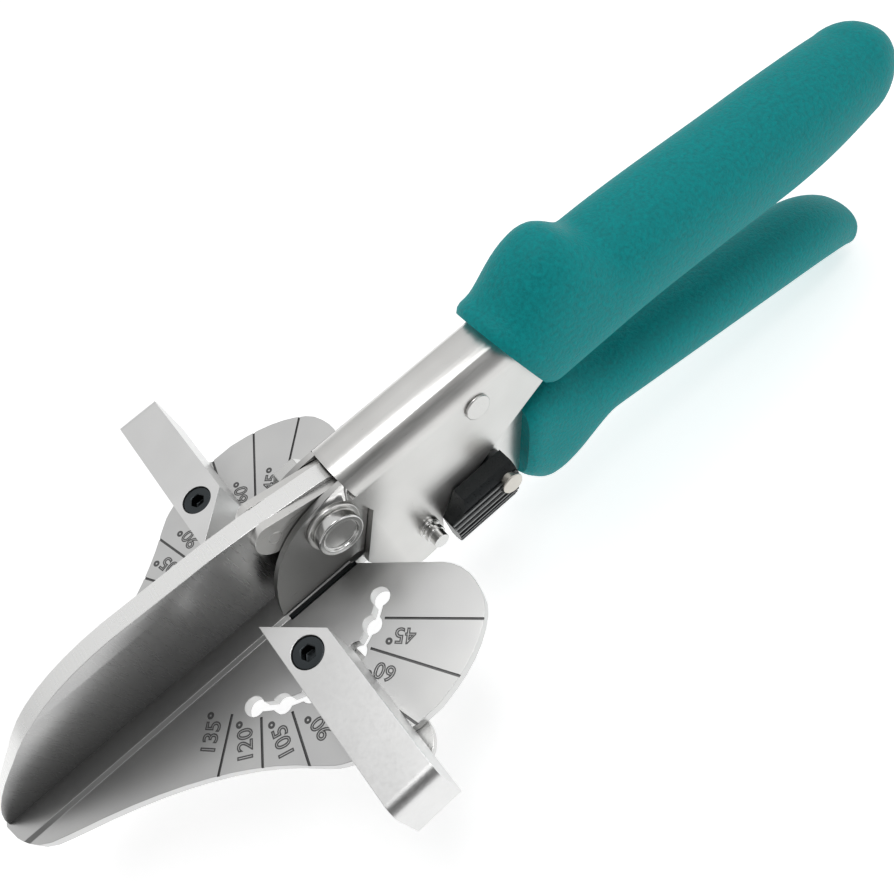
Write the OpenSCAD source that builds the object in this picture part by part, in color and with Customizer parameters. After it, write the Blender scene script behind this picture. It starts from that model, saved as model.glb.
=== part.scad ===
/* [Table] */
// Thickness of the angle table
table_t = 3; // [2.5:0.5:4]
// Radius of the arc of screw holes about the fence pivot
arc_r = 25; // [24:0.5:26]
// Diameter of the screw holes in the table
hole_d = 4.5; // [4.3:0.1:4.8]
// Width of the necks that join the screw holes
neck_w = 2; // [1.9:0.1:2.4]
// Distance of the fence pivot behind the cutting centre
pivot_x = 5; // [4:0.5:6]
// Largest half width of the wings
wing_r = 45.5; // [44:0.5:48]
// Height of the raised cutting strip
strip_h = 0.8; // [0.5:0.1:1.2]

/* [Blade] */
// Thickness of the blade at its spine
blade_t = 4.8; // [4:0.2:5]
// Length of the cutting edge in front of the cutting centre
nose_x = 69; // [60:1:75]
// Height of the blade above the table
blade_h = 30; // [28:1:31]

/* [Frame] */
// Outer width of the pressed channel
channel_w = 16; // [15.6:0.2:16.4]
// Thickness of the pressed sheet
sheet_t = 1.5; // [1.4:0.1:1.6]
// Height of the channel's roof above the table
channel_top = 27; // [26.5:0.5:28]
// Radius of the channel's rounded roof
roof_r = 7; // [6.5:0.5:7]
// Main bolt, distance behind the cutting centre
bolt_x = 25; // [24.5:0.5:25.5]
// Main bolt, height above the table
bolt_z = 16.5; // [16:0.5:17]
// Diameter of the main bolt's shank
bolt_d = 6; // [5.8:0.1:6.2]

/* [Handles] */
// Width of the upper grip
upper_grip_w = 26; // [25:0.5:27]
// Width of the lower grip
lower_grip_w = 21; // [20:0.5:22]
// Thickness of each arm plate of the lower handle
arm_t = 2; // [1.8:0.1:2]

/* [Fences] */
// Width of a fence bar
fence_w = 11; // [10.5:0.5:12]
// Height of a fence bar
fence_h = 15; // [13:1:16]
// Distance from the middle of the tool to a fence's outer end
fence_end = 61.7; // [54:0.1:64]
// Distance from the middle of the tool to a fence's inner tip
fence_tip = 12.7; // [12.5:0.1:14]

/* [Latch] */
// Length of the latch along the tool
latch_len = 20; // [19:0.5:20]
// Distance of the latch's outer face from the middle of the tool
latch_y = 15; // [14.8:0.1:15.4]

/* [Hidden] */
$fn = 48;
e = 0.05;
wall_y = channel_w / 2;             // outer face of a side plate
inner_y = wall_y - sheet_t;         // inner face of a side plate
ear_out = 6.1;                      // outer face of an ear
ear_in = ear_out - sheet_t;         // inner face of an ear
ear_top = channel_top - roof_r + sqrt(pow(roof_r, 2) - pow(ear_out - wall_y + roof_r, 2));
arm_y = blade_t / 2 + arm_t;        // outer face of an arm plate beside the blade
arm_wide = inner_y - 0.2;           // outer face of an arm plate behind the step
edge_z = strip_h + e;               // height of the closed cutting edge
bush_d = 8;
fence_z = e;                        // underside of a fence bar
screw_y = arc_r;
catch_x = 41.5;
catch_z = -7;
catch_d = 5;
catch_end = 13.5;
latch_px = 62.5;
latch_pz = -5;
latch_top = -1.5;
latch_bot = -16;
rivet_x = 65;
rivet_z = 17.5;
spacer_x = 120;
spacer_z = -21;

// ---- helpers ----

// A flat outline in X and Z, given thickness from y0 to y1
module side(y0, y1) {
    translate([0, y1, 0]) rotate([90, 0, 0]) linear_extrude(y1 - y0) children();
}

// A round bar along Y from y0 to y1
module bar_y(x, z, d, y0, y1) {
    translate([x, y1, z]) rotate([90, 0, 0]) cylinder(d = d, h = y1 - y0);
}

// The same shape on both sides of the middle plane
module both_sides() {
    children();
    mirror([0, 1, 0]) children();
}

// Points of an arc from angle a0 to a1 in n steps
function arc(cx, cy, r, a0, a1, n) =
    [for (i = [0 : n]) let (a = a0 + (a1 - a0) * i / n) [cx + r * cos(a), cy + r * sin(a)]];

// Points of a quadratic curve from p to r that q pulls on
function curve(p, q, r, n) =
    [for (i = [0 : n]) let (t = i / n) (1 - t) * (1 - t) * p + 2 * t * (1 - t) * q + t * t * r];

// ---- frame ----

// The side plate's front edge, behind the main bolt
plate_front = [[31.5, channel_top], [33.6, 13], [25.6, -1.5]];

// Side view of the channel behind the ears
module plate_outline() {
    polygon(concat(
        [plate_front[0], plate_front[1], plate_front[2]],
        curve([28.5, -9], [30.5, -17.5], [36.8, -17.6], 6),
        curve([40, -17.4], [44, -15], [45.5, -8.5], 6),
        [[64.1, 0.6], [82.3, 8.3], [150, 4.5], [150, 20], [100, 25], [84, channel_top]]));
}

// End view of the channel: two walls under a rounded roof
module channel_section() {
    r = roof_r;
    difference() {
        union() {
            translate([-wall_y, -30]) square([channel_w, 30 + channel_top - r]);
            translate([-wall_y + r, 0]) square([channel_w - 2 * r, channel_top]);
            for (s = [-1, 1]) translate([s * (wall_y - r), channel_top - r]) circle(r);
        }
        translate([-inner_y, -31]) square([2 * inner_y, 31 + channel_top - r]);
        translate([-wall_y + r, -31]) square([channel_w - 2 * r, 31 + channel_top - sheet_t]);
        for (s = [-1, 1]) translate([s * (wall_y - r), channel_top - r]) circle(r - sheet_t);
    }
}

// Side view of an ear, which carries the main bolt
module ear_outline() {
    polygon(concat(
        curve([31.5, ear_top], [9, 25], [3.8, strip_h + 0.9], 12),
        [[25.2, strip_h + 0.9], [26.6, 0.8], [34, 14], [32.4, ear_top]]));
}

// The pressed step that joins an ear to its side plate
module step_outline() {
    w = sheet_t;
    drop = roof_r - 1;
    polygon([plate_front[0] - [0, drop], plate_front[1], [26.6, 0.3],
        [26.6 + w, 0.3], plate_front[1] + [w, 0.3], plate_front[0] + [w, -drop]]);
}

module frame_channel() color("silver") difference() {
    union() {
        intersection() {
            side(-wall_y - 1, wall_y + 1) plate_outline();
            translate([20, 0, 0]) rotate([90, 0, 90]) linear_extrude(140) channel_section();
        }
        both_sides() {
            side(ear_in, ear_out) ear_outline();
            side(ear_in, wall_y) step_outline();
        }
    }
    bar_y(bolt_x, bolt_z, bolt_d, -20, 20);
    bar_y(rivet_x, rivet_z, 5, -20, 20);
    bar_y(catch_x, catch_z, 4, -20, 0);
}

// ---- table ----

// One wing's outline with half of the nose
module wing_outline() {
    polygon(concat(
        [[-nose_x - 0.8, 0]],
        curve([-68.6, 4], [-66.5, 9.3], [-60, 11], 4),
        curve([-57, 12], [-24, 22], [-9, 37.5], 10),
        curve([-7, 39.3], [-3, wing_r - 2], [12, wing_r], 8),
        curve([18, wing_r], [31, wing_r - 2], [37.5, 37], 6),
        curve([39, 35], [42.5, 27], [38, 21.6], 6),
        [[23.5, 7.1], [23.5, 0]]));
}

// The holes for the fence screw and the necks between them
module screw_arc() {
    for (a = [45 : 15 : 135])
        translate([arc_r * cos(a), arc_r * sin(a)]) circle(d = hole_d);
    difference() {
        circle(arc_r + neck_w / 2, $fn = 96);
        circle(arc_r - neck_w / 2, $fn = 96);
        translate([-50, -50]) square([100, 50]);
        for (s = [0, 1]) mirror([s, 0]) rotate(45) translate([0, -60]) square([60, 60]);
    }
}

module table() color("gainsboro") {
    strip_w = 6.6;
    strip_end = 22.5;
    neck_end = 36;
    slot_w = 1.2;       // slot beside the foot of each ear
    slot_deep = 1.4;
    difference() {
        table_body(strip_w, strip_end, neck_end);
        both_sides() translate([4.4, ear_out, -slot_deep]) cube([18.8, slot_w, slot_deep + 2 * strip_h]);
    }
}

// The plate with its holes, the cutting strip and the tongue into the channel
module table_body(strip_w, strip_end, neck_end) {
    difference() {
        translate([0, 0, -table_t]) linear_extrude(table_t) difference() {
            union() {
                both_sides() wing_outline();
                translate([23, -inner_y]) square([neck_end - 23, 2 * inner_y]);
            }
            both_sides() translate([pivot_x, 0]) screw_arc();
            translate([27, -ear_in]) square([neck_end, 2 * ear_in]);
        }
        translate([pivot_x, 0, -table_t - 1]) cylinder(d = 4, h = 3);
    }
    intersection() {
        rotate([90, 0, 90]) translate([0, 0, -nose_x - 1]) linear_extrude(nose_x + 1 + strip_end)
            polygon([[-strip_w, -1], [-strip_w, 0], [-strip_w + strip_h, strip_h],
                [strip_w - strip_h, strip_h], [strip_w, 0], [strip_w, -1]]);
        translate([0, 0, -1]) linear_extrude(3) both_sides() wing_outline();
    }
    both_sides() translate([29, ear_in, -7]) cube([neck_end - 29, inner_y - ear_in, 7 - table_t + e]);
}

// ---- bolt, rivets and pins of the frame ----

module main_bolt() color("gainsboro") difference() {
    union() {
        bar_y(bolt_x, bolt_z, bolt_d, -8, 11.6);
        bar_y(bolt_x, bolt_z, 10.8, -10.2, -7.3);
    }
    bar_y(bolt_x, bolt_z, 8.2, -10.3, -9.5);
}

module ring_y(x, z, outer, inner, y0, y1) {
    difference() {
        bar_y(x, z, outer, y0, y1);
        bar_y(x, z, inner, y0 - 1, y1 + 1);
    }
}

module head_washer() color("silver") ring_y(bolt_x, bolt_z, 12.6, bolt_d, -7.3, -ear_out);

module nut_washer() color("silver") ring_y(bolt_x, bolt_z, 12.6, bolt_d, ear_out, 7.3);

module main_nut() color("silver") difference() {
    translate([bolt_x, 11.3, bolt_z]) rotate([90, 0, 0]) cylinder(d = 10.5, h = 4, $fn = 6);
    bar_y(bolt_x, bolt_z, bolt_d, 0, 20);
}

module mid_rivet() color("gainsboro") {
    bar_y(rivet_x, rivet_z, 5, -wall_y, wall_y);
    bar_y(rivet_x, rivet_z, 6.4, -wall_y - 0.8, -wall_y);
    bar_y(rivet_x, rivet_z, 6.4, wall_y, wall_y + 0.8);
}

module rivet_sleeve() color("silver") ring_y(rivet_x, rivet_z, 6.6, 5, -inner_y, inner_y);

// Unit vector along v
function unit(v) = v / norm(v);

// A round wire along a path of points, with the coil's axis Y as its reference
module wire_sweep(path, d, sides) {
    n = len(path);
    rings = [for (i = [0 : n - 1]) let (
        t = unit(path[min(i + 1, n - 1)] - path[max(i - 1, 0)]),
        u = unit(cross([0, 1, 0], t)),
        v = cross(t, u))
        for (k = [0 : sides - 1]) path[i] + d / 2 * (u * cos(360 * k / sides) + v * sin(360 * k / sides))];
    polyhedron(rings, concat(
        [[for (k = [0 : sides - 1]) k]],
        [for (i = [0 : n - 2], k = [0 : sides - 1]) let (a = i * sides, b = (k + 1) % sides)
            [a + k, a + sides + k, a + sides + b, a + b]],
        [[for (k = [sides - 1 : -1 : 0]) (n - 1) * sides + k]]));
}

// Torsion spring on the sleeve, with one leg under the roof and one above the arms
module return_spring() color("dimgray") {
    wire = 1.1;
    coil_r = 4.2;
    turns = 6;
    leg = 15;
    half = turns * 1.3 / 2;
    coil = [for (i = [0 : 16 * turns]) let (a = 90 - 360 * i / 16)
        [coil_r * cos(a), -half + 2 * half * i / (16 * turns), coil_r * sin(a)]];
    path = concat([[-leg, -half, coil_r]], coil, [[leg, half, coil_r]]);
    translate([rivet_x, 0, rivet_z]) wire_sweep(path, wire, 8);
}

module catch_pin() color("gainsboro") difference() {
    union() {
        bar_y(catch_x, catch_z, 4, -catch_end, -inner_y);
        bar_y(catch_x, catch_z, catch_d, -catch_end + 2.2, -wall_y - 0.9);
    }
    ring_y(catch_x, catch_z, 8, 3.2, -catch_end + 3.4, -catch_end + 4.4);
}

module catch_clip() color("silver") ring_y(catch_x, catch_z, 5.6, 4, -wall_y - 0.9, -wall_y);

// ---- fence pivot ----

arm_plate = 2;                       // thickness of a clamp arm
near_arm_z = -table_t - 0.2;         // upper face of the near clamp arm
far_arm_z = near_arm_z - arm_plate - 0.2;
stud_end = far_arm_z - arm_plate - 0.2;

module fence_pivot() color("silver") translate([pivot_x, 0, 0]) {
    translate([0, 0, stud_end - 1.6]) cylinder(d = 4, h = 1.6 - stud_end - 1);
    translate([0, 0, stud_end]) cylinder(d = 6, h = -table_t - stud_end);
}

module pivot_ring() color("dimgray") translate([pivot_x, 0, stud_end - 1.1]) difference() {
    cylinder(d = 9, h = 1.1);
    translate([0, 0, -1]) cylinder(d = 4, h = 4);
}

// ---- fences, drawn on the near side ----

module fence_bar() {
    top = fence_z + fence_h;
    x1 = fence_w;
    r = 3;
    difference() {
        intersection() {
            translate([0, 0, fence_z]) linear_extrude(fence_h) polygon([[0, -fence_end], [x1, -fence_end],
                [x1, -fence_tip - x1], [0, -fence_tip]]);
            rotate([90, 0, 90]) linear_extrude(x1 + 1) union() {
                translate([-fence_end, fence_z]) square([fence_end, fence_h - r]);
                translate([-fence_end + r, fence_z]) square([fence_end, fence_h]);
                translate([-fence_end + r, top - r]) circle(r);
            }
        }
        translate([-1, -fence_tip - 3.5, -1]) cube([x1 + 2, fence_tip, 1 + strip_h + 0.4]);
        translate([pivot_x, -screw_y, fence_z - 1]) cylinder(d = 4.4, h = fence_h + 2);
        translate([pivot_x, -screw_y, top - 4.4]) cylinder(d = 7.2, h = 5);
    }
}

// Socket-head screw: head, shank, a waist through the table's necks, and thread
module fence_screw(arm_top) {
    top = fence_z + fence_h - 0.3;
    translate([pivot_x, -screw_y, 0]) difference() {
        union() {
            translate([0, 0, top - 4]) cylinder(d = 7, h = 4);
            translate([0, 0, 0.4]) cylinder(d = 4, h = top - 2);
            translate([0, 0, arm_top - 0.5]) cylinder(d = neck_w - 0.3, h = 1.5 - arm_top);
            translate([0, 0, arm_top - arm_plate]) cylinder(d = 4, h = arm_plate);
        }
        translate([0, 0, top - 2.4]) cylinder(d = 3.46, h = 3, $fn = 6);
    }
}

// Clamp arm under the table, from the pivot to beyond the rim
module clamp_arm(arm_top) {
    translate([pivot_x, 0, arm_top - arm_plate]) linear_extrude(arm_plate) difference() {
        polygon(concat(arc(0, 0, 6, -40, 220, 20), arc(2, -45, 7, 180, 360, 14)));
        circle(d = 6.1);
        translate([0, -screw_y]) circle(d = 4);
    }
}

module near_fence_bar() color("whitesmoke") fence_bar();

module near_fence_screw() color("black") fence_screw(near_arm_z);

module near_clamp_arm() color("silver") clamp_arm(near_arm_z);

module far_fence_bar() color("whitesmoke") mirror([0, 1, 0]) fence_bar();

module far_fence_screw() color("black") mirror([0, 1, 0]) fence_screw(far_arm_z);

module far_clamp_arm() color("silver") mirror([0, 1, 0]) clamp_arm(far_arm_z);

// ---- lower handle: blade and arms ----

module blade_outline() {
    polygon(concat(
        [[4.5, edge_z]],
        curve([-nose_x, edge_z], [-nose_x + 2, 9], [-56, 17.5], 6),
        curve([-54, 19], [-42, blade_h], [-22, blade_h], 8),
        [[2, 29], [12, 28]],
        curve([28, 25.5], [36, 24.5], [36.5, 17], 6),
        curve([34, 10], [26, 6.5], [18, 7.5], 4)));
}

// End view of the blade: a wedge in front, full thickness behind
module blade_wedge() {
    half = blade_t / 2;
    land = 0.12;
    polygon([[-land, edge_z - 1], [land, edge_z - 1], [land, edge_z], [half, 25], [half, 40],
        [-half, 40], [-half, 25], [-land, edge_z]]);
}

module blade() color("silver") difference() {
    union() {
        intersection() {
            side(-blade_t / 2, blade_t / 2) blade_outline();
            translate([-80, 0, 0]) rotate([90, 0, 90]) linear_extrude(90) blade_wedge();
        }
        intersection() {
            side(-blade_t / 2, blade_t / 2) blade_outline();
            translate([9.5, -5, 7]) cube([40, 10, 40]);
        }
    }
    bar_y(bolt_x, bolt_z, bush_d, -10, 10);
    for (p = rivet_points) bar_y(p[0], p[1], 3, -10, 10);
}

rivet_points = [[14.5, 23.4], [32.5, 19]];

// Side view of an arm: round-ended tongue, pivot boss and the shank to the grip
module arm_outline() {
    polygon(concat(
        arc(14.5, 23.4, 4.6, 95, 268, 12),
        [[17.5, 12]],
        arc(bolt_x, bolt_z, 9, 210, 275, 5),
        [[34, 1], [48, -11], [58, -15.5], [66, -17.5], [72, -18.5]],
        [[80, -23], [95, -23.5], [175, -36.5], [175, -24.5], [95, -9], [86, -4], [76, 0.5], [72, 8], [56, 9],
         [44, 15.5], [38.5, 21], [31.5, 23.6]]));
}

// Plan view of the near arm, stepped outwards behind the blade
module arm_plan() {
    a = blade_t / 2;
    o = arm_wide - arm_t;
    polygon([[0, -a], [47, -a], [51, -o], [180, -o], [180, -o - arm_t], [50.4, -o - arm_t],
        [46.4, -a - arm_t], [0, -a - arm_t]]);
}

module arm() difference() {
    intersection() {
        side(-10, 0) arm_outline();
        translate([0, 0, -60]) linear_extrude(100) arm_plan();
    }
    bar_y(bolt_x, bolt_z, bush_d, -10, 10);
    for (p = rivet_points) bar_y(p[0], p[1], 3, -10, 10);
    bar_y(latch_px, latch_pz, 4, -10, 10);
    bar_y(spacer_x, spacer_z, 4, -10, 10);
}

module near_arm() color("silver") arm();

module far_arm() color("silver") mirror([0, 1, 0]) arm();

module blade_rivets() color("gainsboro")
    for (p = rivet_points) bar_y(p[0], p[1], 3, -arm_y, arm_y);

module pivot_bush() color("tan") ring_y(bolt_x, bolt_z, bush_d, bolt_d + 0.06, -arm_y, arm_y);

// Tubular rivet that holds the arms apart inside the lower grip
module arm_spacer() color("silver") {
    o = arm_wide - arm_t;
    bar_y(spacer_x, spacer_z, 7, -o, o);
    bar_y(spacer_x, spacer_z, 4, -arm_wide, arm_wide);
}

// ---- latch ----

module latch_pin() color("antiquewhite") {
    bar_y(latch_px, latch_pz, 4, -latch_y - 0.1, arm_wide);
    bar_y(latch_px, latch_pz, 5.6, -latch_y - 0.8, -latch_y - 0.1);
    bar_y(latch_px, latch_pz, 5.6, arm_wide, arm_wide + 0.8);
}

module latch_clip() color("silver")
    ring_y(latch_px, latch_pz, 6, 4, -arm_wide + arm_t, -arm_wide + arm_t + 0.8);

// End view of the latch: flat top and back, round outer face
module latch_section() {
    r = 9;
    intersection() {
        translate([-latch_y, latch_bot]) square([latch_y - wall_y - 0.3, latch_top - latch_bot]);
        translate([-latch_y + r, -8]) circle(r);
    }
}

module latch() color("black") {
    x0 = latch_px - latch_len + 3;
    clear_r = norm([catch_x - bolt_x, catch_z - bolt_z]) + catch_d / 2 + 0.45;
    difference() {
        union() {
            intersection() {
                translate([x0, 0, 0]) rotate([90, 0, 90]) linear_extrude(latch_len) latch_section();
                side(-20, 0) polygon([[x0, latch_top], [x0, latch_bot], [latch_px - 1.5, latch_bot],
                    [latch_px + 3, latch_pz], [latch_px + 3, latch_top]]);
            }
            bar_y(latch_px, latch_pz, 6.6, -wall_y - 0.5, -arm_wide - 0.15);
        }
        bar_y(latch_px, latch_pz, 4.08, -20, 0);
        bar_y(bolt_x, bolt_z, 2 * clear_r, -catch_end - 0.4, 0);
    }
}

// ---- grips ----

// Smooth step from 0 to 1
function ease(t) = let (u = min(max(t, 0), 1)) u * u * (3 - 2 * u);

// Smooth hump, 1 in the middle and 0 beyond -1 and 1
function hump(t) = abs(t) < 1 ? pow(1 - t * t, 2) : 0;

// Rounding of a grip's front rim, at a distance behind it
function rim(d) = 1 - 0.1 * pow(max(1 - d / 4, 0), 3);

// A section is its middle x and z, half width as a share of the grip's width,
// height above, depth below, lean of its plane, and power of its outline
upper_front = 79;
upper_back = 190;
upper_tip = [203, 13];
upper_half = 14;    // half height of the straight part
stop_x = 95;        // thumb stop on top: place, height and half length
stop_h = 9;
stop_len = 12.5;

function upper_section(x) = let (r = rim(x - upper_front), tail = pow(max((x - 160) / 30, 0), 2)) [
    x, 17 - 5 * ease((x - 105) / 75), 0.5 * r * (1 - 0.1 * tail),
    (upper_half + stop_h * hump((x - stop_x) / stop_len)) * r * (1 - 0.15 * tail),
    upper_half * r * (1 - 0.2 * tail), -0.37 * (1 - ease((x - 80) / 18)), 2.25];

upper_rows = [for (x = concat([upper_front, upper_front + 1.5], [for (x = [83 : 4 : 111]) x],
    [for (x = [125 : 13 : upper_back]) x])) upper_section(x)];

lower_front = 71.5;
lower_back = 192;
lower_tip = [197, -42.5];
lower_half = 10;
guard_x = 84.5;     // finger guard below: place, depth and half length
guard_h = 10.5;
guard_len = 15;

function lower_section(x) = let (
    t = x - lower_front, r = rim(t), tail = pow(max((x - 165) / 27, 0), 3),
    square_end = pow(max(1 - t / 22, 0), 2)) [
    x, -10.5 - 0.195 * t + 2 * (1 - ease(t / 20)) - 4 * tail,
    (0.5 + 0.02 * (1 - ease((x - 84) / 20))) * r * (1 - 0.2 * tail),
    (lower_half + 2.5 * (1 - ease((x - 84) / 22))) * r * (1 - 0.25 * tail),
    (lower_half + guard_h * hump((x - guard_x) / guard_len)) * r * (1 - 0.05 * tail),
    0.35 * (1 - ease((x - 80) / 24)), 2.25 + 1.75 * square_end];

lower_rows = [for (x = concat([lower_front, lower_front + 1.5], [for (x = [76 : 3.5 : 104]) x],
    [for (x = [116 : 13 : 168]) x], [for (x = [174 : 6 : lower_back]) x])) lower_section(x)];

// Sections that round off the end towards the tip
function end_rows(r, tip, n) = [for (i = [1 : n]) let (a = 90 * i / n, t = sin(a), s = max(cos(a), 0.08))
    [r[0] + (tip[0] - r[0]) * t, r[1] + (tip[1] - r[1]) * t, r[2] * s, r[3] * s, r[4] * s, r[5], r[6]]];

// Points round one section, a little squarer than an ellipse
function grip_ring(r, w, n) = [for (k = [0 : n - 1]) let (
    c = cos(360 * k / n), s = sin(360 * k / n),
    z = (s > 0 ? r[3] : r[4]) * sign(s) * pow(abs(s), 2 / r[6]))
    [r[0] + r[5] * z, r[2] * w * sign(c) * pow(abs(c), 2 / r[6]), r[1] + z]];

// A closed skin over the sections
module grip_skin(rows, w) {
    n = 32;
    m = len(rows);
    polyhedron(
        [for (r = rows) each grip_ring(r, w, n)],
        concat(
            [[for (k = [0 : n - 1]) k]],
            [for (i = [0 : m - 2], k = [0 : n - 1]) let (a = i * n, b = (k + 1) % n)
                each [[a + b, a + k, a + n + k], [a + b, a + n + k, a + n + b]]],
            [[for (k = [n - 1 : -1 : 0]) (m - 1) * n + k]]));
}

module upper_grip() color("teal") difference() {
    grip_skin(concat(upper_rows, end_rows(upper_rows[len(upper_rows) - 1], upper_tip, 5)), upper_grip_w);
    side(-wall_y, wall_y) polygon([[62, -30], [82, 8.3], [150, 4.5], [150, 20], [100, 25], [84, channel_top],
        [62, 40]]);
}

module lower_grip() color("teal") difference() {
    grip_skin(concat(lower_rows, end_rows(lower_rows[len(lower_rows) - 1], lower_tip, 5)), lower_grip_w);
    side(-arm_wide, arm_wide) arm_outline();
}

frame_channel();
table();
main_bolt();
head_washer();
nut_washer();
main_nut();
mid_rivet();
rivet_sleeve();
return_spring();
catch_pin();
catch_clip();
fence_pivot();
pivot_ring();
upper_grip();
blade();
near_arm();
far_arm();
blade_rivets();
pivot_bush();
arm_spacer();
lower_grip();
latch_pin();
latch_clip();
latch();
near_fence_bar();
near_fence_screw();
near_clamp_arm();
far_fence_bar();
far_fence_screw();
far_clamp_arm();
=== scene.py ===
import math
import bmesh
import bpy
from mathutils import Matrix, Vector


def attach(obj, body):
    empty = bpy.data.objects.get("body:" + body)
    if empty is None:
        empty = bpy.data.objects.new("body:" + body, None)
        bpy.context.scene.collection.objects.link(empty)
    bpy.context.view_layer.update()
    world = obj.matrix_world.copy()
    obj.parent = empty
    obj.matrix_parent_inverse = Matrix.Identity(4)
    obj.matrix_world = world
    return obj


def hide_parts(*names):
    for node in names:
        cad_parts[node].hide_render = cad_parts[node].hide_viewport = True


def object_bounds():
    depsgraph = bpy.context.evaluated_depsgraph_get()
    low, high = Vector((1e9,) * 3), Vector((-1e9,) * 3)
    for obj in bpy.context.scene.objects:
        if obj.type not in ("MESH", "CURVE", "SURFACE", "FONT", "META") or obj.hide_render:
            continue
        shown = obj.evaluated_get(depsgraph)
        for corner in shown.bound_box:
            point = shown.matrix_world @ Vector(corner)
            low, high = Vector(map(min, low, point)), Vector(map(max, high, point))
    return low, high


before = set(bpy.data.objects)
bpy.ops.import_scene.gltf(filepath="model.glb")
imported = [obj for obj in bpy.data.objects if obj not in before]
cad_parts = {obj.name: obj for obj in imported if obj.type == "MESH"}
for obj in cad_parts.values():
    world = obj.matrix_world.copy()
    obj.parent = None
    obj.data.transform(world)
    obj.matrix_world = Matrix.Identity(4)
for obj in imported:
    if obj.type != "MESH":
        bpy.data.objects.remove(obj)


def plain(box):
    return [[float(v) for v in corner] for corner in box]


CAD_BOX = plain(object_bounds())
MM = 0.001

# ---- camera ----

cam_data = bpy.data.cameras.new("camera")
cam_data.lens = 35.9
cam_data.sensor_width = 36
cam_data.clip_start = 0.005
cam = bpy.data.objects.new("camera", cam_data)
cam.location = (0.0267, -0.1176, 0.1726)
cam.rotation_euler = [math.radians(a) for a in (31.85, 16.2, -38.55)]
bpy.context.collection.objects.link(cam)
bpy.context.scene.camera = cam
bpy.context.scene.view_settings.view_transform = "Standard"

# ---- materials ----


def material(name):
    """A new node material with its Principled shader."""
    m = bpy.data.materials.new(name)
    m.use_nodes = True
    return m, m.node_tree, m.node_tree.nodes["Principled BSDF"]


def coords(tree, scale):
    """Object coordinates in millimetres, stretched by scale."""
    tc = tree.nodes.new("ShaderNodeTexCoord")
    mp = tree.nodes.new("ShaderNodeMapping")
    mp.inputs["Scale"].default_value = [s / MM for s in scale]
    tree.links.new(tc.outputs["Object"], mp.inputs["Vector"])
    return mp.outputs["Vector"]


def noise(tree, vector, scale, detail=3, roughness=0.5):
    n = tree.nodes.new("ShaderNodeTexNoise")
    n.inputs["Scale"].default_value = scale
    n.inputs["Detail"].default_value = detail
    n.inputs["Roughness"].default_value = roughness
    tree.links.new(vector, n.inputs["Vector"])
    return n.outputs["Fac"]


def spread(tree, fac, low, high):
    """Maps a noise of about 0.3 to 0.7 to low to high."""
    r = tree.nodes.new("ShaderNodeMapRange")
    r.inputs["From Min"].default_value = 0.3
    r.inputs["From Max"].default_value = 0.7
    r.inputs["To Min"].default_value = low
    r.inputs["To Max"].default_value = high
    tree.links.new(fac, r.inputs["Value"])
    return r.outputs["Result"]


def mixed(tree, fac, a, b):
    """A colour between a and b."""
    mix = tree.nodes.new("ShaderNodeMix")
    mix.data_type = "RGBA"
    mix.inputs["A"].default_value = (*a, 1)
    mix.inputs["B"].default_value = (*b, 1)
    tree.links.new(fac, mix.inputs["Factor"])
    return mix.outputs["Result"]


def bumped(tree, bsdf, height, strength, distance):
    b = tree.nodes.new("ShaderNodeBump")
    b.inputs["Strength"].default_value = strength
    b.inputs["Distance"].default_value = distance
    tree.links.new(height, b.inputs["Height"])
    tree.links.new(b.outputs["Normal"], bsdf.inputs["Normal"])


def metal(name, dark, light, rough, grain=(0.05, 1.2, 1.2), strength=0.15, depth=4e-6, vary=0.18):
    """Steel with fine grinding marks along the first axis of grain, and soft clouds."""
    m, tree, bsdf = material(name)
    bsdf.inputs["Metallic"].default_value = 1.0
    marks = noise(tree, coords(tree, grain), 2.5, 5, 0.65)
    clouds = noise(tree, coords(tree, (1, 1, 1)), 0.06, 2)
    tree.links.new(mixed(tree, spread(tree, clouds, 0, 1), dark, light), bsdf.inputs["Base Color"])
    tree.links.new(spread(tree, marks, rough * (1 - vary), rough * (1 + vary)), bsdf.inputs["Roughness"])
    bumped(tree, bsdf, marks, strength, depth)
    return m


def by_place(mat, source, axis, near, far, other):
    """Mixes a metal's colour towards another along one axis of the Normal or Object coordinates."""
    tree = mat.node_tree
    tc = tree.nodes.new("ShaderNodeTexCoord")
    split = tree.nodes.new("ShaderNodeSeparateXYZ")
    ramp = tree.nodes.new("ShaderNodeMapRange")
    ramp.inputs["From Min"].default_value = near
    ramp.inputs["From Max"].default_value = far
    mix = tree.nodes.new("ShaderNodeMix")
    mix.data_type = "RGBA"
    mix.inputs["B"].default_value = (*other, 1)
    socket = tree.nodes["Principled BSDF"].inputs["Base Color"]
    tree.links.new(socket.links[0].from_socket, mix.inputs["A"])
    tree.links.new(tc.outputs[source], split.inputs["Vector"])
    tree.links.new(split.outputs[axis], ramp.inputs["Value"])
    tree.links.new(ramp.outputs["Result"], mix.inputs["Factor"])
    tree.links.new(mix.outputs["Result"], socket)


NICKEL = metal("nickel", (0.66, 0.655, 0.64), (0.74, 0.735, 0.72), 0.32)
PLATE = metal("nickel_plate", (0.64, 0.635, 0.62), (0.72, 0.715, 0.70), 0.33)
by_place(PLATE, "Object", "X", 33 * MM, 25 * MM, (0.34, 0.34, 0.335))      # painted dark reflection: the ears darker towards the front
TABLE = metal("table_steel", (0.60, 0.60, 0.60), (0.67, 0.67, 0.66), 0.34, (0.3, 0.3, 0.3), 0.03, vary=0.04)
BLADE = metal("blade_steel", (0.46, 0.46, 0.46), (0.54, 0.54, 0.535), 0.28, (0.9, 0.06, 0.06), 0.02,
              vary=0.06)
by_place(BLADE, "Object", "Z", 22 * MM, 1 * MM, (0.20, 0.20, 0.20))        # painted dark reflection: darker towards the edge
by_place(BLADE, "Normal", "Z", 0.3, 0.7, (0.88, 0.88, 0.87))               # painted highlight: up-facing faces, such as the spine, lighter
BRIGHT = metal("bright_steel", (0.62, 0.62, 0.61), (0.72, 0.72, 0.71), 0.18)
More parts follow.
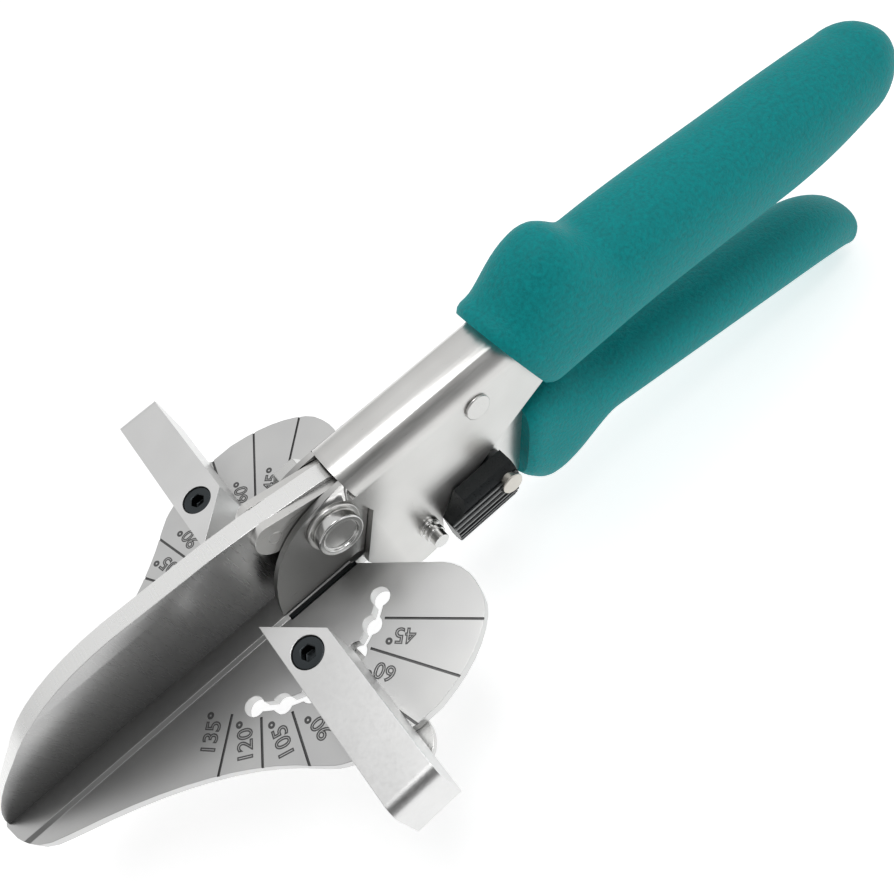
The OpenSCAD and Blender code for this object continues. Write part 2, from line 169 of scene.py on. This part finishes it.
SPRING = metal("spring_steel", (0.30, 0.30, 0.31), (0.40, 0.40, 0.41), 0.30)
BRONZE = metal("bronze", (0.55, 0.36, 0.18), (0.66, 0.45, 0.24), 0.32)
SATIN = metal("fence_satin", (0.70, 0.70, 0.695), (0.77, 0.77, 0.765), 0.36, (0.6, 0.6, 0.6), 0.2)
CLAMP = metal("clamp_steel", (0.62, 0.62, 0.61), (0.70, 0.70, 0.69), 0.30)
OXIDE = metal("black_oxide", (0.03, 0.035, 0.038), (0.055, 0.062, 0.066), 0.30, (0.8, 0.8, 0.8), 0.3)
PALE = metal("pale_steel", (0.60, 0.57, 0.52), (0.68, 0.65, 0.60), 0.38, (0.5, 0.9, 0.5), 0.3)
MARK = metal("mark_dark", (0.11, 0.11, 0.11), (0.17, 0.17, 0.17), 0.45)


def plastic(name, dark, light, rough, cell, strength, depth, specular=0.5):
    """Moulded plastic with a grained skin."""
    m, tree, bsdf = material(name)
    bsdf.inputs["Specular IOR Level"].default_value = specular
    skin = coords(tree, (1, 1, 1))
    fine = noise(tree, skin, cell, 4, 0.6)
    tree.links.new(mixed(tree, spread(tree, fine, 0, 1), dark, light), bsdf.inputs["Base Color"])
    tree.links.new(spread(tree, fine, rough * 0.8, rough * 1.2), bsdf.inputs["Roughness"])
    bumped(tree, bsdf, fine, strength, depth)
    return m


TEAL = plastic("grip_teal", (0.0, 0.21, 0.22), (0.0, 0.305, 0.315), 0.58, 1.1, 0.8, 3e-4, 0.18)
LATCH = plastic("latch_black", (0.006, 0.008, 0.009), (0.012, 0.015, 0.016), 0.32, 2.0, 0.25, 2e-5)
# lighter grey for the latch's rib crests: a painted highlight
PAINTED_RIB_HIGHLIGHT = plastic("latch_painted_highlight", (0.20, 0.21, 0.21), (0.32, 0.33, 0.33), 0.40, 2.0, 0.25, 2e-5)

CAD_LOOKS = {
    "frame_channel": (PLATE, 0.35),
    "table": (TABLE, 0.12),
    "main_bolt": (BRIGHT, 0.5),
    "head_washer": (NICKEL, 0.3),
    "nut_washer": (NICKEL, 0.3),
    "main_nut": (BRIGHT, 0.3),
    "mid_rivet": (NICKEL, 0.35),
    "rivet_sleeve": (NICKEL, 0.2),
    "return_spring": (SPRING, 0),
    "catch_pin": (BRIGHT, 0.3),
    "catch_clip": (BRIGHT, 0.15),
    "fence_pivot": (CLAMP, 0.2),
    "pivot_ring": (OXIDE, 0.2),
    "blade": (BLADE, 0.2),
    "near_arm": (NICKEL, 0.3),
    "far_arm": (NICKEL, 0.3),
    "blade_rivets": (NICKEL, 0.15),
    "pivot_bush": (BRONZE, 0.15),
    "arm_spacer": (CLAMP, 0.2),
    "latch_pin": (PALE, 0.35),
    "latch_clip": (SPRING, 0.15),
    "near_fence_bar": (SATIN, 0.45),
    "near_fence_screw": (OXIDE, 0.3),
    "near_clamp_arm": (CLAMP, 0.4),
    "far_fence_bar": (SATIN, 0.45),
    "far_fence_screw": (OXIDE, 0.3),
    "far_clamp_arm": (CLAMP, 0.4),
}


def smooth_group():
    """Geometry nodes that shade smooth except along edges over 30 degrees."""
    g = bpy.data.node_groups.new("smooth_by_angle", "GeometryNodeTree")
    g.interface.new_socket("Geometry", in_out="INPUT", socket_type="NodeSocketGeometry")
    g.interface.new_socket("Geometry", in_out="OUTPUT", socket_type="NodeSocketGeometry")
    start, end = g.nodes.new("NodeGroupInput"), g.nodes.new("NodeGroupOutput")
    faces = g.nodes.new("GeometryNodeSetShadeSmooth")
    edges = g.nodes.new("GeometryNodeSetShadeSmooth")
    edges.domain = "EDGE"
    angle = g.nodes.new("GeometryNodeInputMeshEdgeAngle")
    over = g.nodes.new("FunctionNodeCompare")
    over.data_type = "FLOAT"
    over.operation = "LESS_EQUAL"
    over.inputs["B"].default_value = math.radians(30)
    link = g.links.new
    link(start.outputs[0], faces.inputs["Geometry"])
    link(faces.outputs[0], edges.inputs["Geometry"])
    link(angle.outputs["Unsigned Angle"], over.inputs["A"])
    link(over.outputs[0], edges.inputs["Shade Smooth"])
    link(edges.outputs[0], end.inputs[0])
    return g


SMOOTH = smooth_group()


def dress(obj, mat, bevel, grooves=None):
    """Paints unless mat is None, welds, rounds the edges by bevel millimetres, cuts grooves, smooths."""
    if mat:
        obj.data.materials.clear()
        obj.data.materials.append(mat)
    weld = obj.modifiers.new("weld", "WELD")
    weld.merge_threshold = 1e-6
    if bevel:
        flat = obj.modifiers.new("flat", "DECIMATE")
        flat.decimate_type = "DISSOLVE"
        flat.angle_limit = math.radians(0.5)
        b = obj.modifiers.new("bevel", "BEVEL")
        b.width = bevel * MM
        b.segments = 3
        b.limit_method = "ANGLE"
        b.angle_limit = math.radians(32)
    if grooves:
        cut = obj.modifiers.new("grooves", "BOOLEAN")
        cut.object = grooves
        cut.solver = "EXACT"
        cut.material_mode = "TRANSFER"
    sm = obj.modifiers.new("smooth", "NODES")
    sm.node_group = SMOOTH
    wn = obj.modifiers.new("normals", "WEIGHTED_NORMAL")
    wn.keep_sharp = True


def new_mesh(name, verts, faces, mat):
    """A mesh object from corners in millimetres."""
    me = bpy.data.meshes.new(name)
    me.from_pydata([Vector(v) * MM for v in verts], [], faces)
    me.validate()
    me.materials.append(mat)
    obj = bpy.data.objects.new(name, me)
    bpy.context.collection.objects.link(obj)
    return obj


def baked(obj):
    """Applies an object's modifiers to its mesh."""
    dg = bpy.context.evaluated_depsgraph_get()
    me = bpy.data.meshes.new_from_object(obj.evaluated_get(dg))
    obj.modifiers.clear()
    obj.data = me
    return obj


def boolean(obj, other, operation="DIFFERENCE"):
    """Cuts obj with the mesh object other, or joins other to it, and removes other."""
    m = obj.modifiers.new("cut", "BOOLEAN")
    m.object = other
    m.operation = operation
    m.solver = "EXACT"
    baked(obj)
    bpy.data.objects.remove(other)
    return obj


def extruded(name, outline, low, high, axis, mat):
    """A solid from low to high along X (axis 0) or Y (axis 1), with its outline in the other two."""
    n = len(outline)
    verts = [(*point[:axis], w, *point[axis:]) for w in (low, high) for point in outline]
    faces = [tuple(range(n)), tuple(reversed(range(n, 2 * n)))]
    faces += [(k, k + n, (k + 1) % n + n, (k + 1) % n) for k in range(n)]
    return outward(new_mesh(name, verts, faces, mat))


def circle(cx, cz, r, n=48):
    turns = [2 * math.pi * k / n for k in range(n)]
    return [(cx + r * math.cos(a), cz + r * math.sin(a)) for a in turns]


def outward(obj):
    """Turns every face of a closed mesh outwards."""
    bm = bmesh.new()
    bm.from_mesh(obj.data)
    bmesh.ops.recalc_face_normals(bm, faces=bm.faces)
    bm.to_mesh(obj.data)
    bm.free()
    return obj


def loft(name, rows, mat, sides=56):
    """A closed skin over rows of (x, middle z, half width, height above, depth below, lean, power)."""
    verts, faces = [], []
    for x, zc, hw, up, down, lean, power in rows:
        for k in range(sides):
            c, s = math.cos(2 * math.pi * k / sides), math.sin(2 * math.pi * k / sides)
            z = (up if s > 0 else down) * math.copysign(abs(s) ** (2 / power), s)
            verts.append((x + lean * z, hw * math.copysign(abs(c) ** (2 / power), c), zc + z))
    for i in range(len(rows) - 1):
        for k in range(sides):
            a, b = i * sides + k, i * sides + (k + 1) % sides
            faces.append((a, b, b + sides, a + sides))
    faces.append(tuple(reversed(range(sides))))
    faces.append(tuple(range((len(rows) - 1) * sides, len(rows) * sides)))
    return outward(new_mesh(name, verts, faces, mat))


def end_rows(last, tip, n=12):
    """Rows that round off the end from the last row to the tip."""
    x0, z0, hw, up, down, lean, power = last
    rows = []
    for i in range(1, n + 1):
        t, s = math.sin(math.pi / 2 * i / n), max(math.cos(math.pi / 2 * i / n), 0.05)
        rows.append((x0 + (tip[0] - x0) * t, z0 + (tip[1] - z0) * t, hw * s, up * s, down * s, lean, power))
    return rows


# ---- grips: the same formulas as the CAD solids, with finer steps ----


def ease(t):
    """Smooth step from 0 to 1."""
    u = min(max(t, 0), 1)
    return u * u * (3 - 2 * u)


def hump(t):
    """Smooth hump, 1 in the middle and 0 beyond -1 and 1."""
    return (1 - t * t) ** 2 if abs(t) < 1 else 0


def rim(d):
    """Rounding of a grip's front rim, at a distance behind it."""
    return 1 - 0.1 * max(1 - d / 4, 0) ** 3


def upper_section(x):
    """The upper grip: straight, with a thumb stop on top near its front."""
    r, tail = rim(x - 79), max((x - 160) / 30, 0) ** 2
    return (x, 17 - 5 * ease((x - 105) / 75), 13 * r * (1 - 0.1 * tail),
            (14 + 9 * hump((x - 95) / 12.5)) * r * (1 - 0.15 * tail),
            14 * r * (1 - 0.2 * tail), -0.37 * (1 - ease((x - 80) / 18)), 2.25)


def lower_section(x):
    """The lower grip: it slopes down, with a finger guard below near its squarer front."""
    t = x - 71.5
    r, tail = rim(t), max((x - 165) / 27, 0) ** 3
    return (x, -10.5 - 0.195 * t + 2 * (1 - ease(t / 20)) - 4 * tail,
            21 * (0.5 + 0.02 * (1 - ease((x - 84) / 20))) * r * (1 - 0.2 * tail),
            (10 + 2.5 * (1 - ease((x - 84) / 22))) * r * (1 - 0.25 * tail),
            (10 + 10.5 * hump((x - 84.5) / 15)) * r * (1 - 0.05 * tail),
            0.35 * (1 - ease((x - 80) / 24)), 2.25 + 1.75 * max(1 - t / 22, 0) ** 2)


def grip(name, section, front, back, tip):
    """A grip's skin, with a soft front edge and a round end."""
    x, zc, hw, up, down, lean, power = section(front)
    lip = [(front + inset, zc, hw * s, up * s, down * s, lean, power)
           for inset, s in ((0.35, 0.93), (0.1, 0.97))]
    steps = round((back - front) / 1.25)
    rows = lip + [section(front + (back - front) * i / steps) for i in range(steps + 1)]
    return loft(name, rows + end_rows(rows[-1], tip), TEAL)


upper = grip("upper_grip_skin", upper_section, 79, 190, (203, 13))
lower = grip("lower_grip_skin", lower_section, 71.5, 192, (197, -42.5))

for obj, body, node in ((upper, "frame", "upper_grip"), (lower, "lower_handle", "lower_grip")):
    dress(obj, TEAL, 0)
    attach(obj, body)
    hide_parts(node)

# ---- latch ----

LATCH_Y, LATCH_R, LATCH_Z = -15.0, 9.0, -8.0      # outer face, radius and middle of its section
LATCH_BACK, LATCH_TOP, LATCH_FOOT = -8.3, -1.5, -16.0
LATCH_FRONT, LATCH_END = 45.5, 65.5
LATCH_PIN = (62.5, -5.0)
BOLT = (25.0, 16.5)
RELIEF_R = 31.66      # round the bolt, so that the open handle's latch clears the pin
RIBS = 11
RIB_START, RIB_SPAN = 153, 96      # degrees round the section
RIB_FOOT = 8.45


def latch_outline():
    """Flat top and back, a smooth shoulder and a ribbed outer face."""
    cy = LATCH_Y + LATCH_R

    def at(degrees, r):
        a = math.radians(degrees)
        return cy + r * math.cos(a), LATCH_Z + r * math.sin(a)

    points, crests = [(LATCH_BACK, LATCH_TOP)], []
    points += [at(a, LATCH_R) for a in range(134, 152, 3)]
    step = RIB_SPAN / RIBS
    for i in range(RIBS):
        for share, r in ((0.0, RIB_FOOT), (0.25, LATCH_R), (0.5, LATCH_R), (0.75, RIB_FOOT)):
            if share == 0.25:
                crests.append(len(points))
            points.append(at(RIB_START + (i + share) * step, r))
    points += [(at(RIB_START + RIB_SPAN, LATCH_R)[0], LATCH_FOOT), (LATCH_BACK, LATCH_FOOT)]
    return points, crests


outline, crests = latch_outline()
latch = extruded("latch_body", outline, LATCH_FRONT, LATCH_END, 0, LATCH)
# the rib crests get the lighter grey as a painted highlight
latch.data.materials.append(PAINTED_RIB_HIGHLIGHT)
for k in crests:
    latch.data.polygons[2 + k].material_index = 1
corner = [(61.0, -16.1), (65.6, -5.0), (70, -5.0), (70, -20), (61.0, -20)]
boolean(latch, extruded("corner", corner, -20, 0, 1, LATCH))
boolean(latch, extruded("relief", circle(*BOLT, RELIEF_R, 160), -13.9, 0, 1, LATCH))
boolean(latch, extruded("seat", circle(*LATCH_PIN, 3.1), -20, -14.2, 1, LATCH))
boolean(latch, extruded("boss", circle(*LATCH_PIN, 3.3), -8.6, -6.45, 1, LATCH), "UNION")
boolean(latch, extruded("bore", circle(*LATCH_PIN, 2.04), -20, 0, 1, LATCH))
dress(latch, None, 0.12)
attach(latch, "latch")
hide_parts("latch")

# ---- angle scale ----

PIVOT_X = 5.0
ANGLES = (45, 60, 75, 90, 105, 120, 135)
LINE_IN, LINE_OUT = 26.8, 56      # ends of a scale line, along it
LINE_W, LINE_DEPTH = 0.6, 0.35
CUT_ABOVE = 0.5                   # how far the line cutters stand above the table
SLOT_X = (4.35, 23.25)            # slots at the feet of the ears, painted black as painted shade in the gaps
SLOT_Y = (6.1, 7.35)
SLOT_Z = (-1.45, 2)


def scale_line(side, angle):
    """Start, direction and normal of one scale line, where a fence's front face lies at that angle."""
    u = Vector((math.cos(math.radians(angle)), side * math.sin(math.radians(angle)), 0))
    n = Vector((-u.y * side, u.x * side, 0))
    return Vector((PIVOT_X, 0, 0)) + n * PIVOT_X, u, n


def groove(side, angle):
    """Corners of the cutter for one scale line."""
    start, u, n = scale_line(side, angle)
    corners = ((LINE_IN, -LINE_W / 2), (LINE_OUT, -LINE_W / 2), (LINE_OUT, LINE_W / 2), (LINE_IN, LINE_W / 2))
    return [tuple(start + u * t + n * w + Vector((0, 0, z)))
            for z in (-LINE_DEPTH, CUT_ABOVE) for t, w in corners]


BOX_FACES = ((0, 1, 2, 3), (7, 6, 5, 4), (0, 4, 5, 1), (1, 5, 6, 2), (2, 6, 7, 3), (3, 7, 4, 0))



def foot_slot(side):
    """Corners of the cutter for the slot at one ear's foot."""
    (x0, x1), (y0, y1) = SLOT_X, sorted(side * y for y in SLOT_Y)
    return [(x, y, z) for z in SLOT_Z for x, y in ((x0, y0), (x1, y0), (x1, y1), (x0, y1))]


boxes = [groove(side, angle) for side in (-1, 1) for angle in ANGLES]
boxes += [foot_slot(side) for side in (-1, 1)]
verts = [corner for box in boxes for corner in box]
faces = [tuple(8 * k + i for i in f) for k in range(len(boxes)) for f in BOX_FACES]
scale_cutter = outward(new_mesh("scale_cutter", verts, faces, MARK))
scale_cutter.data.materials.append(OXIDE)
for face in scale_cutter.data.polygons[-2 * len(BOX_FACES):]:      # the two slots, painted black oxide as painted shade in the gaps
    face.material_index = 1
scale_cutter.hide_render = scale_cutter.hide_viewport = True

NUMBER_SIZE = 4.9
NUMBER_OUT = 31       # how far out along its scale line a number stands
NUMBER_ASIDE = 3.7    # and how far beside it
NUMBER_SINK = 0.13    # how far the middle of its strokes lies under the table's top
NUMBER_STROKE = 0.23


def number(side, angle):
    """One angle number, stamped as a fine outline that reads along its scale line."""
    cu = bpy.data.curves.new("digits", "FONT")
    cu.body = f"{angle}\u00b0"
    cu.size = NUMBER_SIZE * MM
    cu.align_x = cu.align_y = "CENTER"
    cu.fill_mode = "NONE"
    cu.bevel_depth = NUMBER_STROKE * MM
    cu.bevel_resolution = 1
    cu.resolution_u = 4
    text = bpy.data.objects.new("digits", cu)
    bpy.context.collection.objects.link(text)
    start, u, n = scale_line(side, angle)
    middle = (start + u * NUMBER_OUT + n * NUMBER_ASIDE) * MM
    middle.z = -NUMBER_SINK * MM
    along = u if side > 0 else -u
    text.matrix_world = Matrix.Translation(middle) @ Matrix.Rotation(math.atan2(along.y, along.x), 4, "Z")
    bpy.context.view_layer.update()
    dg = bpy.context.evaluated_depsgraph_get()
    me = bpy.data.meshes.new_from_object(text.evaluated_get(dg))
    me.transform(text.matrix_world)
    bpy.data.objects.remove(text)
    me.materials.clear()
    me.materials.append(MARK)
    obj = bpy.data.objects.new(f"mark_{'near' if side < 0 else 'far'}_{angle}", me)
    bpy.context.collection.objects.link(obj)
    sm = obj.modifiers.new("smooth", "NODES")
    sm.node_group = SMOOTH
    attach(obj, "frame")


for side in (-1, 1):
    for angle in ANGLES:
        number(side, angle)

for name, (mat, bevel) in CAD_LOOKS.items():
    dress(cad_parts[name], mat, bevel, scale_cutter if name == "table" else None)

# ---- floor and light ----

LOW = CAD_BOX[0][2]
FLOOR_GAP = 2 * MM
bpy.ops.mesh.primitive_plane_add(size=6, location=(0.07, 0, LOW - FLOOR_GAP))
floor = bpy.context.object
floor.name = "floor"
fm, _, fb = material("floor_white")
fb.inputs["Base Color"].default_value = (0.8, 0.8, 0.8, 1)
fb.inputs["Emission Color"].default_value = (1, 1, 1, 1)
fb.inputs["Emission Strength"].default_value = 0.55
fb.inputs["Roughness"].default_value = 0.7
floor.data.materials.append(fm)

world = bpy.data.worlds.new("studio")
world.use_nodes = True
bpy.context.scene.world = world
wt = world.node_tree
bg = wt.nodes["Background"]
bg.inputs["Strength"].default_value = 0.85
wc = wt.nodes.new("ShaderNodeTexCoord")


def sky(direction, stops):
    """A grey ramp over how far the sky's direction turns from the given one."""
    dot = wt.nodes.new("ShaderNodeVectorMath")
    dot.operation = "DOT_PRODUCT"
    dot.inputs[1].default_value = Vector(direction).normalized()
    ramp = wt.nodes.new("ShaderNodeValToRGB")
    while len(ramp.color_ramp.elements) < len(stops):
        ramp.color_ramp.elements.new(0.5)
    for el, (pos, v) in zip(ramp.color_ramp.elements, stops):
        el.position = (pos + 1) / 2
        el.color = (v, v, v, 1)
    remap = wt.nodes.new("ShaderNodeMapRange")
    remap.inputs["From Min"].default_value = -1
    wt.links.new(wc.outputs["Generated"], dot.inputs[0])
    wt.links.new(dot.outputs["Value"], remap.inputs["Value"])
    wt.links.new(remap.outputs["Result"], ramp.inputs["Fac"])
    return ramp.outputs["Color"]


# a bright tent over a dark opening on the near side
tent = sky((0, 0, 1), [(-1, 0.9), (0.0, 0.7), (0.4, 0.9), (1, 1.1)])
opening = sky((-0.14, -0.62, 0.77), [(-1, 1.0), (0.25, 0.95), (0.7, 0.55), (0.97, 0.1)])
both = wt.nodes.new("ShaderNodeMix")
both.data_type = "RGBA"
both.blend_type = "MULTIPLY"
both.inputs["Factor"].default_value = 1
wt.links.new(tent, both.inputs["A"])
wt.links.new(opening, both.inputs["B"])
wt.links.new(both.outputs["Result"], bg.inputs["Color"])


def area(name, where, at, size, power):
    """A rectangular light that shines from where towards at."""
    d = bpy.data.lights.new(name, "AREA")
    d.shape = "RECTANGLE"
    d.size, d.size_y = size
    d.energy = power
    o = bpy.data.objects.new(name, d)
    o.location = where
    o.rotation_euler = (Vector(at) - Vector(where)).to_track_quat("-Z", "Y").to_euler()
    bpy.context.collection.objects.link(o)
    return o


area("key", (0.12, -0.02, 0.60), (0.06, 0, 0), (0.35, 0.20), 1.0)
area("fill", (0.45, -0.35, 0.35), (0.08, 0, 0), (0.3, 0.3), 0.4)
